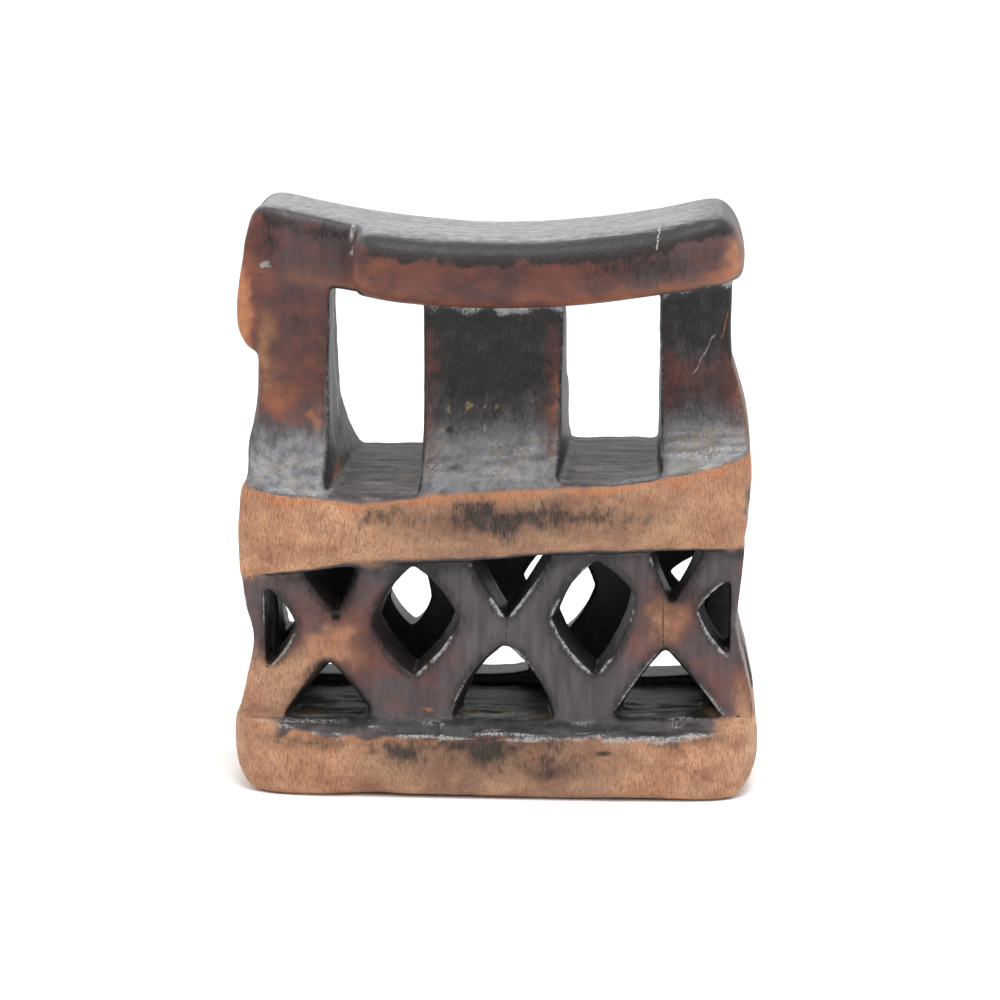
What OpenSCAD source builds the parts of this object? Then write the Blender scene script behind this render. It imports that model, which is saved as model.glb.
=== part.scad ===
// Carved wooden headrest: a plinth, an open storey of crossed struts, a solid band,
// three flared posts and a dished head bar, all cut from one block of wood.
// Millimetres. Origin at the middle of the underside, +X to the sitter's right along the
// head bar, +Y to the back, +Z up.

/* [Overall] */
// Width of the plinth, the widest part
base_w = 140; // [110:1:180]
// Depth of the plinth, the deepest part
base_d = 60; // [50:1:80]

/* [Plinth] */
// Height of the plinth where the struts stand on it
base_h = 20.8; // [14:0.1:30]
// Height that the ledge in front of the struts slopes down
ledge_drop = 3.6; // [1:0.1:6]
// Radius of the worn lower corners, seen from the front
base_corner_r = 11; // [4:0.5:14]

/* [Open storey] */
// Height of the open storey at mid width
lattice_h = 43.7; // [34:0.1:60]
// Distance of the struts' outer face inside the plinth's front and back
lattice_inset = 5.5; // [3:0.1:8]
// Thickness of the front and back walls of struts
strut_wall = 13; // [8:0.1:16]
// Width of the upright corners at their feet
corner_w = 9; // [8:0.1:16]
// Height of solid wood where two struts cross
crossing_h = 12; // [8:0.1:16]
// Width of solid wood where two struts cross
crossing_w = 21; // [14:0.1:26]
// Height of solid wood below each diamond
foot_h = 11.5; // [6:0.1:15]
// Height of solid wood above each diamond
head_h = 2; // [1:0.1:5]
// Width of each opening at the wall's inner face, as a share of its width at the outer face
reveal_taper = 0.86; // [0.7:0.01:1]
// Height of each arch at the wall's inner face, as a share of its height at the outer face
arch_taper = 0.8; // [0.7:0.01:1]
// Height of the sill below the back wall's arches
back_sill = 2.7; // [0:0.1:6]

/* [Band] */
// Height of the band at mid width
band_h = 18.2; // [12:0.1:28]
// Tilt of the hand carved band, rising to the right, in degrees
band_tilt = 4; // [0:0.1:6]
// Distance of the band inside the plinth all round
band_inset = 1.5; // [0.5:0.1:4]
// Height that the band's upper edge curls up at its two ends
band_curl = 5.5; // [0:0.1:8]
// Rise of the left window's floor from front to back
left_floor_rise = 6; // [0:0.1:8]
// Rise of the right window's floor from front to back
right_floor_rise = 3.5; // [0:0.1:8]

/* [Posts] */
// Height from the band to the head bar at mid width
post_h = 46.9; // [36:0.1:64]
// Depth of the posts below the head bar
post_d = 24; // [16:0.5:30]
// Width of the centre post
centre_post_w = 37; // [28:0.5:48]
// Width of the left and right posts at mid height
end_post_w = 20; // [14:0.5:26]
// Height over which the posts flare out to the band
flare_h = 24; // [14:0.5:34]
// Distance of the end posts' necks inside the plinth's ends
neck_inset = 7.5; // [5:0.1:12]

/* [Head bar] */
// Thickness of the head bar
bar_h = 18.2; // [12:0.1:26]
// Depth of the head bar
bar_d = 59; // [46:0.5:76]
// Radius of the dished top, seen from the front
dish_r = 235; // [180:5:320]
// Distance of the bar's right end inside the plinth's right end
bar_inset = 5.5; // [4:0.1:10]
// Width of the old break in the front lip, from the bar's left end
break_w = 31; // [20:0.5:42]
// Distance that the lug stands out from the left post's neck
lug_out = 5; // [2:0.1:7]
// Height of the lug below the bar
lug_h = 21.5; // [10:0.5:26]

/* [Hidden] */
$fn = 48;

// Colours of the old, handled wood
tan_wood = [0.66, 0.43, 0.27];
dark_wood = [0.27, 0.21, 0.21];
red_wood = [0.36, 0.20, 0.16];
black_wood = [0.16, 0.14, 0.14];

// Overall reach of the cutting shapes
far = 400;
half_w = base_w / 2;
half_d = base_d / 2;

// Levels at mid width
band_z = base_h + lattice_h;
post_z = band_z + band_h;
bar_z = post_z + post_h;
dish_z = bar_z + bar_h + dish_r;

// Droop of the band's lower edge at its ends, and the plinth's tilt in degrees
band_droop = 1.6;
base_tilt = 0.8;

// Plan sizes of each storey
lattice_half_d = half_d - lattice_inset;
hollow_half_d = lattice_half_d - strut_wall;
// The struts' side openings reach these planes; the end walls stand further in
hollow_left = corner_w - half_w + 0.8;
hollow_right = half_w - corner_w + 1;
left_wall_in = 1;
right_wall_in = 6.5;
// The back left diamond runs on into the corner
corner_nick = 1.6;
band_half_w = half_w - band_inset;
band_half_d = half_d - band_inset;
post_half_d = post_d / 2;
neck_left = neck_inset - half_w - 0.4;
neck_right = half_w - neck_inset - 0.4;
centre_x = -0.9;
window_left = [neck_left + end_post_w, centre_x - centre_post_w / 2];
window_right = [centre_x + centre_post_w / 2, neck_right - end_post_w + 0.7];
bar_left = neck_left - lug_out + 0.5;
bar_right = half_w - bar_inset;
// The break leaves the bar's left end flush with the posts, with a little bulge
break_y = -post_half_d - 1;

// Upper and lower edges of each storey, seen from the front
function base_top(x) = base_h + x * tan(base_tilt);
function band_bottom(x) = band_z + x * tan(band_tilt) - band_droop * pow(x / band_half_w, 2);
function band_top(x) = post_z + x * tan(band_tilt) + band_curl * pow(x / band_half_w, 4);
// Centre of the dish is above the middle, so the bar's underside is an arc as well
function bar_bottom(x) = dish_z - sqrt(pow(dish_r + bar_h, 2) - x * x);

// A smooth line through chosen points, six steps to a span
function spline_at(p, i, t) =
    let (
        n = len(p) - 1,
        a = p[max(i - 1, 0)], b = p[i], c = p[i + 1], d = p[min(i + 2, n)]
    )
    0.5 * (2 * b + (c - a) * t + (2 * a - 5 * b + 4 * c - d) * t * t
        + (3 * b - a - 3 * c + d) * t * t * t);
function smooth_line(p, steps = 6) = concat(
    [for (i = [0 : len(p) - 2]) for (s = [0 : steps - 1]) spline_at(p, i, s / steps)],
    [p[len(p) - 1]]
);

// A rounded rectangle with gently bulging sides; a higher power is squarer
function bulged(a, b, power, turns = 64) = [
    for (i = [0 : turns - 1])
        let (
            angle = 360 * (i + 0.5) / turns,
            c = cos(angle), s = sin(angle),
            r = pow(pow(abs(c), power) + pow(abs(s), power), -1 / power)
        )
        [a * r * c, b * r * s]
];

// A front outline (x, z) cut through from y0 to y1
module through(y0, y1) {
    translate([0, y1, 0]) rotate([90, 0, 0]) linear_extrude(y1 - y0) children();
}

// A side outline (y, z) cut through from x0 to x1
module along(x0, x1) {
    translate([x0, 0, 0]) rotate([90, 0, 90]) linear_extrude(x1 - x0) children();
}

// Everything below one of the edges above, seen from the front
module below(edge) {
    steps = 4;
    polygon(concat(
        [[-far, -far], [-far, edge(-half_w)]],
        [for (x = [-half_w : steps : half_w]) [x, edge(x)]],
        [[far, edge(half_w)], [far, -far]]
    ));
}

// The slab between two edges, seen from the front
module between(lower, upper) {
    difference() {
        below(upper);
        below(lower);
    }
}

// ---- Plinth ----

module base_plinth() {
    r = base_corner_r;
    flank = [
        [half_w - r, 0], [half_w - 0.62 * r, 0.4], [half_w - 0.29 * r, 0.29 * r],
        [half_w - 0.06 * r, 0.72 * r], [half_w, 1.3 * r], [half_w - 0.4, base_h - 4],
        [half_w - 1.2, base_h + 3]
    ];
    right_side = smooth_line(flank);
    edge_r = 3;
    color(tan_wood)
    intersection() {
        linear_extrude(base_h + 6) polygon(bulged(half_w, half_d, 6));
        through(-far, far) polygon(concat(
            right_side,
            [for (i = [len(right_side) - 1 : -1 : 0]) [-right_side[i][0], right_side[i][1]]]
        ));
        through(-far, far) below(function(x) base_top(x));
        // Worn lower edges, and the ledges that slope down to the front and back
        along(-far, far) polygon([
            [-half_d + edge_r, 0], [half_d - edge_r, 0],
            [half_d - edge_r / 3, edge_r / 3], [half_d, edge_r],
            [half_d, base_h - ledge_drop], [lattice_half_d, base_h],
            [lattice_half_d, far], [-lattice_half_d, far], [-lattice_half_d, base_h],
            [-half_d, base_h - ledge_drop], [-half_d, edge_r],
            [-half_d + edge_r / 3, edge_r / 3]
        ]);
    }
}

// ---- Open storey ----

// The upright lines where two bays meet, each with a diamond on it: the line's place along
// the wall, and the extra solid wood below and above its diamond. The carver's spacing is
// uneven, so each line is shifted from an even third of the hollow.
span = (hollow_right - hollow_left) / 3;
front_lines = [
    [hollow_left, 2, 1.3], [hollow_left + span - 1.6, 0.1, -0.9],
    [hollow_right - span + 5.8, 0.2, 0.4], [hollow_right, 5.4, 6.4]
];
back_lines = [
    [hollow_left, 2, 3], [hollow_left + span - 4.9, 4.2, 0.3],
    [hollow_right - span - 4.6, 1, 0.4], [hollow_right, 6, 5]
];
side_lines = [[-hollow_half_d, 3, 4], [hollow_half_d, 3, 4]];

// Outlines of the four openings around one crossing, between the lines a and b: a half
// diamond on each line, an arch below and a triangle above.
// levels: floor and roof of the storey at a and at b
// middle: shift of the crossing from the bay's middle, along and up
// waist, thick: width and height of solid wood at the crossing
// sides: heights of its left and right ends above its middle
// tips: shifts of the arch's and the triangle's tips; tip_w: width of the arch's tip
// feet, heads: half widths of solid wood beside the two lines, at the bottom and the top
// bow: how far the arch's sides bow out, as a share of their length
function openings(a, b, levels, middle, waist, thick, sides, tips, feet, heads,
        tip_w = 0.6, bow = 0.02, sill = -1) =
    let (
        x = (a[0] + b[0]) / 2 + middle[0],
        floors = [levels[0][0], levels[1][0]], roofs = [levels[0][1], levels[1][1]],
        z = (floors[0] + floors[1] + roofs[0] + roofs[1]) / 4 + middle[1],
        ends = [x - waist / 2, x + waist / 2],
        foot = [a[0] + feet[0], b[0] - feet[1]], head = [a[0] + heads[0], b[0] - heads[1]],
        arch_z = z - thick / 2, apex_z = z + thick / 2,
        reach = 0.01, above = 1
    )
    [
        bowed([
            [a[0] - reach, floors[0] + foot_h + a[1]], [ends[0], z + sides[0]],
            [a[0] - reach, roofs[0] - head_h - a[2]]
        ], diamond_bow),
        bowed([
            [b[0] + reach, floors[1] + foot_h + b[1]],
            [b[0] + reach, roofs[1] - head_h - b[2]], [ends[1], z + sides[1]]
        ], diamond_bow),
        bowed([
            [foot[0], floors[0] + sill], [foot[1], floors[1] + sill],
            [x + tips[0] + tip_w / 2, arch_z], [x + tips[0] - tip_w / 2, arch_z]
        ], bow),
        bowed([
            [x + tips[1], apex_z], [head[1], roofs[1] + above], [head[0], roofs[0] + above]
        ], 0.02)
    ];

// Levels of the storey's floor and roof at two lines of the front or back wall
function wall_levels(a, b) = [for (line = [a, b]) [base_top(line[0]), band_bottom(line[0])]];

// A convex outline, anticlockwise, whose sides bow out by a share of their length
diamond_bow = 0.07;
function bowed(p, share) = [
    for (i = [0 : len(p) - 1])
        let (a = p[i], side = p[(i + 1) % len(p)] - a)
        for (t = [0 : 0.25 : 0.75])
            a + t * side + 4 * t * (1 - t) * share * [side[1], -side[0]]
];

// The points an outline is drawn in towards, from the wall's outer face to its inner one
function middles(outlines, a, b) = [
    [a[0], (outlines[0][0][1] + outlines[0][8][1]) / 2],
    [b[0], (outlines[1][0][1] + outlines[1][4][1]) / 2],
    [outlines[2][8][0], outlines[2][0][1]],
    [outlines[3][0][0], outlines[3][4][1]]
];

// Cuts one opening through a wall, narrower at its inner face; rise is its height there
module cut(outline, middle, outer_y, inner_y, rise) {
    hull() {
        through(outer_y - 0.05, outer_y + 0.05) polygon(outline);
        through(inner_y - 0.05, inner_y + 0.05) polygon([
            for (p = outline)
                middle + [reveal_taper * (p[0] - middle[0]), rise * (p[1] - middle[1])]
        ]);
    }
}

// Outline of the open storey with its hollowed flanks, seen from the front
module lattice_outline() {
    low = base_h - 2;
    mid = base_h + lattice_h / 2;
    high = band_z + 6;
    left = smooth_line([
        [1.4 - half_w, low], [4.1 - half_w, low + 11], [6.2 - half_w, mid - 1],
        [4.1 - half_w, mid + 9], [2.5 - half_w, high]
    ]);
    right = smooth_line([
        [half_w - 0.4, low], [half_w - 2.5, low + 12], [half_w - 5.7, mid + 2],
        [half_w - 5.5, mid + 12], [half_w - 3.9, high]
    ]);
    intersection() {
        polygon(concat(left, [for (i = [len(right) - 1 : -1 : 0]) right[i]]));
        between(function(x) base_top(x), function(x) band_bottom(x));
    }
}

// A bay of the front or back wall, between the lines a and b; face is -1 or 1, and
// arch_rise is the arch's height at the inner face, as a share of its height outside
module bay(a, b, face, outlines, arch_rise = arch_taper) {
    y0 = face < 0 ? -lattice_half_d : hollow_half_d;
    outer_y = face * (lattice_half_d + 0.1);
    inner_y = face * (hollow_half_d - 0.1);
    points = middles(outlines, a, b);
    difference() {
        through(y0, y0 + strut_wall) intersection() {
            translate([a[0], 0]) square([b[0] - a[0], far]);
            between(function(x) base_top(x), function(x) band_bottom(x));
        }
        for (i = [0 : 3]) {
            rise = i == 2 ? arch_rise : (1 + reveal_taper) / 2;
            cut(outlines[i], points[i], outer_y, inner_y, rise);
        }
    }
}

module front_left_cross() {
    a = front_lines[0];
    b = front_lines[1];
    color(red_wood) bay(a, b, -1, openings(a, b, wall_levels(a, b), [-1.4, 1.3],
        crossing_w - 1.1, crossing_h, [3.7, 4], [-2, 0.5], [3.5, 10], [9.9, 13.4], 2));
}

module front_centre_cross() {
    a = front_lines[1];
    b = front_lines[2];
    color(dark_wood) bay(a, b, -1, openings(a, b, wall_levels(a, b), [0.3, 1.3],
        crossing_w + 3, crossing_h - 4.4, [4.1, 4.2], [-0.3, 0.2], [9.6, 10.6],
        [14.4, 10.5], 3, 0.09), arch_taper + 0.08);
}

module front_right_cross() {
    a = front_lines[2];
    b = front_lines[3];
    color(red_wood) bay(a, b, -1, openings(a, b, wall_levels(a, b), [1.1, 2.3],
        crossing_w - 4.6, crossing_h - 1.1, [8.3, 4.6], [-0.4, 1.3], [3.6, 0.3],
        [13.7, 6.2]));
}

module back_left_cross() {
    a = back_lines[0];
    b = back_lines[1];
    color(dark_wood) bay(a, b, 1, openings(a, b, wall_levels(a, b), [0.7, 4],
        crossing_w, crossing_h + 4, [-0.5, 0], [-1, -1], [4, 9], [10, 13],
        sill = back_sill));
}

module back_centre_cross() {
    a = back_lines[1];
    b = back_lines[2];
    color(dark_wood) bay(a, b, 1, openings(a, b, wall_levels(a, b), [-3.2, 4],
        crossing_w + 2.2, crossing_h + 4, [-1.5, 5.5], [2.7, 2], [9, 7.5], [14, 13],
        8, 0.06, back_sill + 1.2));
}

module back_right_cross() {
    a = back_lines[2];
    b = back_lines[3];
    color(dark_wood) bay(a, b, 1, openings(a, b, wall_levels(a, b), [-4, 4],
        crossing_w - 4.6, crossing_h + 3, [1, 5.5], [3, 2], [9, 4], [13, 12],
        sill = back_sill));
}

// The cross in an end wall, between the corners; side is -1 at the left, 1 at the right
module side_cross(side) {
    inner = side < 0 ? hollow_left + left_wall_in : hollow_right - right_wall_in;
    level = [base_top(inner), band_bottom(inner)];
    a = side_lines[0];
    b = side_lines[1];
    outlines = openings(a, b, [level, level], [0, 1], crossing_w / 2, crossing_h,
        [4, 4], [0, 0], [3, 3], [4, 4]);
    color(dark_wood) intersection() {
        through(a[0], b[0]) intersection() {
            lattice_outline();
            if (side < 0) translate([-far, 0]) square([far + inner, far]);
            else translate([inner, 0]) square([far, far]);
        }
        along(-far, far) difference() {
            translate([a[0], 0]) square([b[0] - a[0], far]);
            for (outline = outlines) polygon(outline);
        }
    }
}

module left_side_cross() { side_cross(-1); }
module right_side_cross() { side_cross(1); }

// An upright corner of the open storey; side and face are -1 or 1
nick_z = base_h + 0.48 * lattice_h;
module corner(side, face) {
    inner = side < 0 ? hollow_left : hollow_right;
    y0 = face < 0 ? -lattice_half_d : hollow_half_d;
    color(red_wood) intersection() {
        through(y0, y0 + strut_wall) difference() {
            intersection() {
                lattice_outline();
                if (side < 0) translate([-far, 0]) square([far + inner, far]);
                else translate([inner, 0]) square([far, far]);
            }
            if (side < 0 && face > 0) polygon([
                [inner - corner_nick, nick_z], [inner, nick_z - 5], [inner + 1, nick_z],
                [inner, nick_z + 5]
            ]);
        }
        linear_extrude(far) polygon(bulged(half_w, lattice_half_d + 0.2, 12));
    }
}

module front_left_corner() { corner(-1, -1); }
module front_right_corner() { corner(1, -1); }
module back_left_corner() { corner(-1, 1); }
module back_right_corner() { corner(1, 1); }

// ---- Band ----

// The band and the posts' flare follow the tilt of the band
module tilted() {
    translate([0, 0, post_z]) rotate([0, -band_tilt, 0]) translate([0, 0, -post_z]) children();
}

module middle_band() {
    round_d = 1.6;
    mid = (band_z + post_z) / 2;
    front = smooth_line([
        [lattice_half_d + 1, band_z - 14], [lattice_half_d + 2, band_z - 1],
        [band_half_d - 0.5, band_z + 3], [band_half_d, mid], [band_half_d - 0.5, post_z - 1],
        [band_half_d - round_d, post_z + 14]
    ]);
    left = smooth_line([
        [3.6 - half_w, band_z - 14], [2.8 - half_w, band_z - 6],
        [0.9 - band_half_w, mid - 9], [0.9 - band_half_w, mid - 3],
        [3.4 - half_w, post_z - 2], [4.8 - half_w, post_z + 6]
    ]);
    right = smooth_line([
        [half_w - 5.5, band_z], [half_w - 4.4, band_z + 5], [half_w - 3.4, mid + 2],
        [half_w - 3, post_z + 1], [half_w - 3, post_z + 8], [half_w - 3.6, post_z + 16]
    ]);
    color(tan_wood) union() {
        intersection() {
            linear_extrude(far) polygon(bulged(half_w, band_half_d, 6));
            through(-far, far) intersection() {
                polygon(concat(left, [for (i = [len(right) - 1 : -1 : 0]) right[i]]));
                between(function(x) band_bottom(x), function(x) band_top(x));
            }
            tilted() along(-far, far) polygon(concat(
                front, [for (i = [len(front) - 1 : -1 : 0]) [-front[i][0], front[i][1]]]
            ));
        }
        window_floor(window_left) left_window();
        window_floor(window_right) right_window();
    }
}

// What is left of the wood between two posts once the window is cut: the floor, which
// slopes up to the back, and the fillets beside it
module window_floor(sides) {
    difference() {
        intersection() {
            through(-far, far) difference() {
                translate([sides[0], 0]) square([sides[1] - sides[0], post_z + flare_h]);
                below(function(x) band_top(x));
            }
            tilted() along(-far, far) post_side();
        }
        children();
    }
}

// The tool that cuts a window, wider or narrower at the back than at the front.
// front and back are outlines (x, z) of the opening's two faces
module window(front, back) {
    face = band_half_d + 4;
    hull() {
        through(-face, 0.1 - face) polygon(front);
        through(face - 0.1, face) polygon(back);
    }
}

module left_window() {
    x0 = window_left[0];
    x1 = window_left[1];
    front_z = band_top((x0 + x1) / 2) - 0.7;
    back_z = front_z + left_floor_rise + 1;
    window(
        [[x0 - 1.2, front_z], [x1 + 0.6, front_z], [x1 + 0.3, bar_z + 20],
            [x0 + 0.4, bar_z + 20]],
        [[x0 + 5.5, back_z], [x1 - 1.5, back_z], [x1, back_z + 3],
            [x1, bar_z + 20], [x0 - 1.8, bar_z + 20], [x0 - 0.5, back_z + 24]]
    );
}

module right_window() {
    x0 = window_right[0];
    x1 = window_right[1];
    front_z = band_top((x0 + x1) / 2) - 0.7;
    back_z = front_z + right_floor_rise + 0.7;
    window(
        [[x0 - 1, front_z], [x1 + 0.8, front_z], [x1, bar_z + 20], [x0, bar_z + 20]],
        [[x0 + 1.5, back_z], [x1 - 0.8, back_z], [x1, bar_z + 20], [x0 + 1, bar_z + 20]]
    );
}

// ---- Posts ----

// Side view of the posts: straight below the bar, flaring out to the band
module post_side() {
    half = smooth_line([
        [band_half_d + 2, post_z - 16], [band_half_d - 0.6, post_z - 2],
        [band_half_d - 3.6, post_z + 0.16 * flare_h],
        [post_half_d + 4.6, post_z + 0.5 * flare_h], [post_half_d + 1.2, post_z + flare_h],
        [post_half_d, post_z + 1.5 * flare_h]
    ]);
    polygon(concat(
        half, [[post_half_d, far], [-post_half_d, far]],
        [for (i = [len(half) - 1 : -1 : 0]) [-half[i][0], half[i][1]]]
    ));
}

// A post's front outline, trimmed to the band, the bar's underside and the side view
module post() {
    intersection() {
        difference() {
            through(-far, far) difference() {
                children();
                below(function(x) band_top(x));
            }
            above_bar_bottom();
            left_window();
            right_window();
        }
        tilted() along(-far, far) post_side();
        linear_extrude(far) polygon(bulged(half_w, band_half_d, 6));
    }
}

// Everything above the round underside of the bar
module above_bar_bottom() {
    translate([0, far / 2, dish_z]) rotate([90, 0, 0])
        cylinder(r = dish_r + bar_h, h = far, $fn = 240);
}

module left_post() {
    flank = smooth_line([
        [3.6 - band_half_w, band_top(-half_w) - 10],
        [3.6 - band_half_w, post_z + 3], [neck_left - 2.4, post_z + 0.37 * flare_h],
        [neck_left - 0.4, post_z + 0.8 * flare_h], [neck_left, post_z + 1.2 * flare_h],
        [neck_left, bar_bottom(neck_left) + 10]
    ]);
    color(red_wood) post() polygon(concat(
        flank, [[window_left[0], far], [window_left[0], 0], [-half_w, 0]]
    ));
}

module centre_post() {
    x0 = window_left[1];
    x1 = window_right[0];
    color(black_wood) post() translate([x0, 0]) square([x1 - x0, far]);
}

module right_post() {
    top = bar_bottom(half_w) + 10;
    flank = smooth_line([
        [half_w - 3, post_z - 4], [half_w - 3, post_z + 8],
        [neck_right + 3.9, post_z + 0.75 * flare_h], [neck_right + 1, post_z + 1.2 * flare_h],
        [neck_right - 0.3, post_z + 1.45 * flare_h], [neck_right - 0.8, top]
    ]);
    color(red_wood) post() polygon(concat(
        flank, [[window_right[1], top], [window_right[1], 0], [half_w - 3, 0]]
    ));
}

// The rounded lug on the left post's outer side, below the bar
module left_lug() {
    top = bar_bottom(neck_left);
    low = top - lug_h;
    edge = smooth_line([
        [neck_left, low], [neck_left - 0.6 * lug_out, low + 2],
        [neck_left - lug_out, low + 6.5], [neck_left - lug_out - 0.3, low + 12],
        [bar_left + 0.2, top + 3]
    ]);
    color(red_wood) intersection() {
        difference() {
            through(-far, far) intersection() {
                polygon(concat(edge, [[neck_left, top + 3]]));
                translate([-far, low]) square([far + neck_left, lug_h + 20]);
            }
            above_bar_bottom();
            left_post_side();
        }
        tilted() along(-far, far) post_side();
        linear_extrude(far) polygon(bulged(half_w, band_half_d, 6));
    }
}

// The left post's neck, cut out of the lug
module left_post_side() {
    translate([neck_left, -far / 2, 0]) cube(far);
}

// ---- Head bar ----

module head_bar() {
    edge_r = 6;
    sag_angle = 24;
    half = bar_d / 2;
    inner = dish_r;
    outer = dish_r + bar_h;
    // Cross section of the bar: distance from the dish's centre, and depth
    section = concat([[inner, 0]], smooth_line([
        [inner, half - edge_r - 3], [inner + 0.5, half - edge_r],
        [inner + 2, half - 2.6], [inner + 5.5, half - 0.5], [inner + 0.6 * bar_h, half],
        [outer - 3, half - 1.4], [outer - 0.6, half - 4.4], [outer, half - 9]
    ]), [[outer, 0]]);
    right_z = bar_bottom(bar_right);
    right = smooth_line([
        [bar_right - 8, right_z - 18], [bar_right - 4.4, right_z - 4.8],
        [bar_right - 1.4, right_z - 1.7], [bar_right, right_z + 4],
        [bar_right - 0.9, right_z + 10], [bar_right - 3.6, right_z + 15],
        [bar_right - 9, right_z + 18.6]
    ]);
    left_z = bar_bottom(bar_left);
    left = smooth_line([
        [bar_left + 0.1, left_z - 6], [bar_left + 0.3, left_z],
        [bar_left + 1.2, left_z + 6.9], [bar_left + 2.2, left_z + 13.1],
        [bar_left + 5, left_z + 16.9], [bar_left + 12, left_z + 19.9]
    ]);
    color(red_wood) difference() {
        intersection() {
            translate([0, 0, dish_z]) rotate([-90, 0, 0]) rotate([0, 0, 90 - sag_angle])
                rotate_extrude(angle = 2 * sag_angle, $fn = 240)
                polygon(concat(
                    section,
                    [for (i = [len(section) - 2 : -1 : 1]) [section[i][0], -section[i][1]]]
                ));
            intersection() {
                through(-bar_d, bar_d) polygon(concat(
                    left, [for (i = [len(right) - 1 : -1 : 0]) right[i]]
                ));
                linear_extrude(far)
                    translate([(bar_left + bar_right) / 2, 0])
                    polygon(bulged((bar_right - bar_left) / 2, half, 7));
            }
        }
        old_break();
    }
}

// The missing front lip at the bar's left end, with a worn, rounded shoulder
module old_break() {
    r = 4;
    x = bar_left + break_w;
    linear_extrude(far) difference() {
        translate([-far, -far]) square([far + x + r, far + break_y]);
        translate([x + r, -bar_d / 2 + r]) circle(r);
        translate([x, -bar_d / 2 + r]) square([2 * r, far]);
        translate([x + r, -far]) square([r, 2 * far]);
    }
}

base_plinth();
front_left_cross();
front_centre_cross();
front_right_cross();
back_left_cross();
back_centre_cross();
back_right_cross();
left_side_cross();
right_side_cross();
front_left_corner();
front_right_corner();
back_left_corner();
back_right_corner();
middle_band();
left_post();
centre_post();
right_post();
left_lug();
head_bar();
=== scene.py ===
# %% [markdown]
# # A carved wooden headrest
#
# The real headrest is one block of hardwood. Its maker cut a plinth, an open storey of
# crossed struts, a solid band, three flared posts and a dished head bar out of it, and long
# use has rubbed some of it back to orange tan and polished the rest almost black.
#
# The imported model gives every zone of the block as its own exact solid, with sharp edges.
# This script welds the zones into one block, softens and scars it as use has done, paints
# it, and cuts it back into the same zones, so that no seam shows between them.

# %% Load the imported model
import math

import bmesh
import bpy
import numpy as np
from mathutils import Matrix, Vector
from mathutils.bvhtree import BVHTree
from mathutils.geometry import tessellate_polygon


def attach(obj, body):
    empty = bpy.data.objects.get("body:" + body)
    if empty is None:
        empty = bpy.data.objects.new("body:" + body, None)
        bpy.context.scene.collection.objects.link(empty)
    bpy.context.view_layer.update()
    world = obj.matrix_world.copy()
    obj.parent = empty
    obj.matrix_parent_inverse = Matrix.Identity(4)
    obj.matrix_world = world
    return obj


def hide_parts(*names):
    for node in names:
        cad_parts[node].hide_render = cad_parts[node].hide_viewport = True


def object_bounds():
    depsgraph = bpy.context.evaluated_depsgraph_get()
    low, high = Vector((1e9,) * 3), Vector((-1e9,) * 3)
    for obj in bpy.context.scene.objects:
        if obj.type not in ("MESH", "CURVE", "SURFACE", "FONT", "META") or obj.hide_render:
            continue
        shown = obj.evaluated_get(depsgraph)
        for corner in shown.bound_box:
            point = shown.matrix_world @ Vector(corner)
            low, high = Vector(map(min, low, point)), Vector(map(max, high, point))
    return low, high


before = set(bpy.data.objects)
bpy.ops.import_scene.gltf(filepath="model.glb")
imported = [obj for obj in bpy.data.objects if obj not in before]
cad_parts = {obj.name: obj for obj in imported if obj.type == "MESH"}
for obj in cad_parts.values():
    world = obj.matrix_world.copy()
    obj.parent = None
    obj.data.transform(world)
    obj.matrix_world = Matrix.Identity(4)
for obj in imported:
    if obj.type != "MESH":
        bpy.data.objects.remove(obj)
cad_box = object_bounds()
MM = 0.001
node_names = sorted(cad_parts)
print("zones:", len(node_names), "size in mm:", [round(v / MM) for v in cad_box[1] - cad_box[0]])

# %% [markdown]
# ## Camera
#
# A small carved object is usually pictured from a little above and almost straight on, with
# a long lens from close to a metre away. The camera sits on a line that leaves the middle
# of the object at those two angles, which is easier to read than three coordinates.

# %% Camera
def place_camera(target, azimuth, elevation, distance, lens):
    """Looks at target from a distance; azimuth 0 looks along +Y."""
    around, above = math.radians(azimuth), math.radians(elevation)
    back = Vector((
        math.sin(around) * math.cos(above), -math.cos(around) * math.cos(above), math.sin(above)
    ))
    data = bpy.data.cameras.new("camera")
    data.lens = lens
    data.sensor_width = 36
    data.clip_start = 0.01
    camera = bpy.data.objects.new("camera", data)
    bpy.context.scene.collection.objects.link(camera)
    camera.location = target + back * distance
    camera.rotation_euler = (-back).to_track_quat("-Z", "Y").to_euler()
    bpy.context.scene.camera = camera


middle = (cad_box[0] + cad_box[1]) / 2
aim = Vector((0.4 * MM, 0, middle.z - 3.2 * MM))
place_camera(aim, azimuth=3.4, elevation=11.5, distance=0.83, lens=111.24)
print("camera aims at", [round(v / MM, 1) for v in aim], "mm")

# %% [markdown]
# ## Shader sums
#
# The light and the wood both need sums on shader sockets. Adding and linking Math nodes by
# hand takes many lines and hides the idea. This small class holds one socket, and the usual
# signs add the nodes: `1 - mask * 0.5` reads as it looks. All other nodes, which have
# settings and named sockets, come from its one method, `node`.

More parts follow.
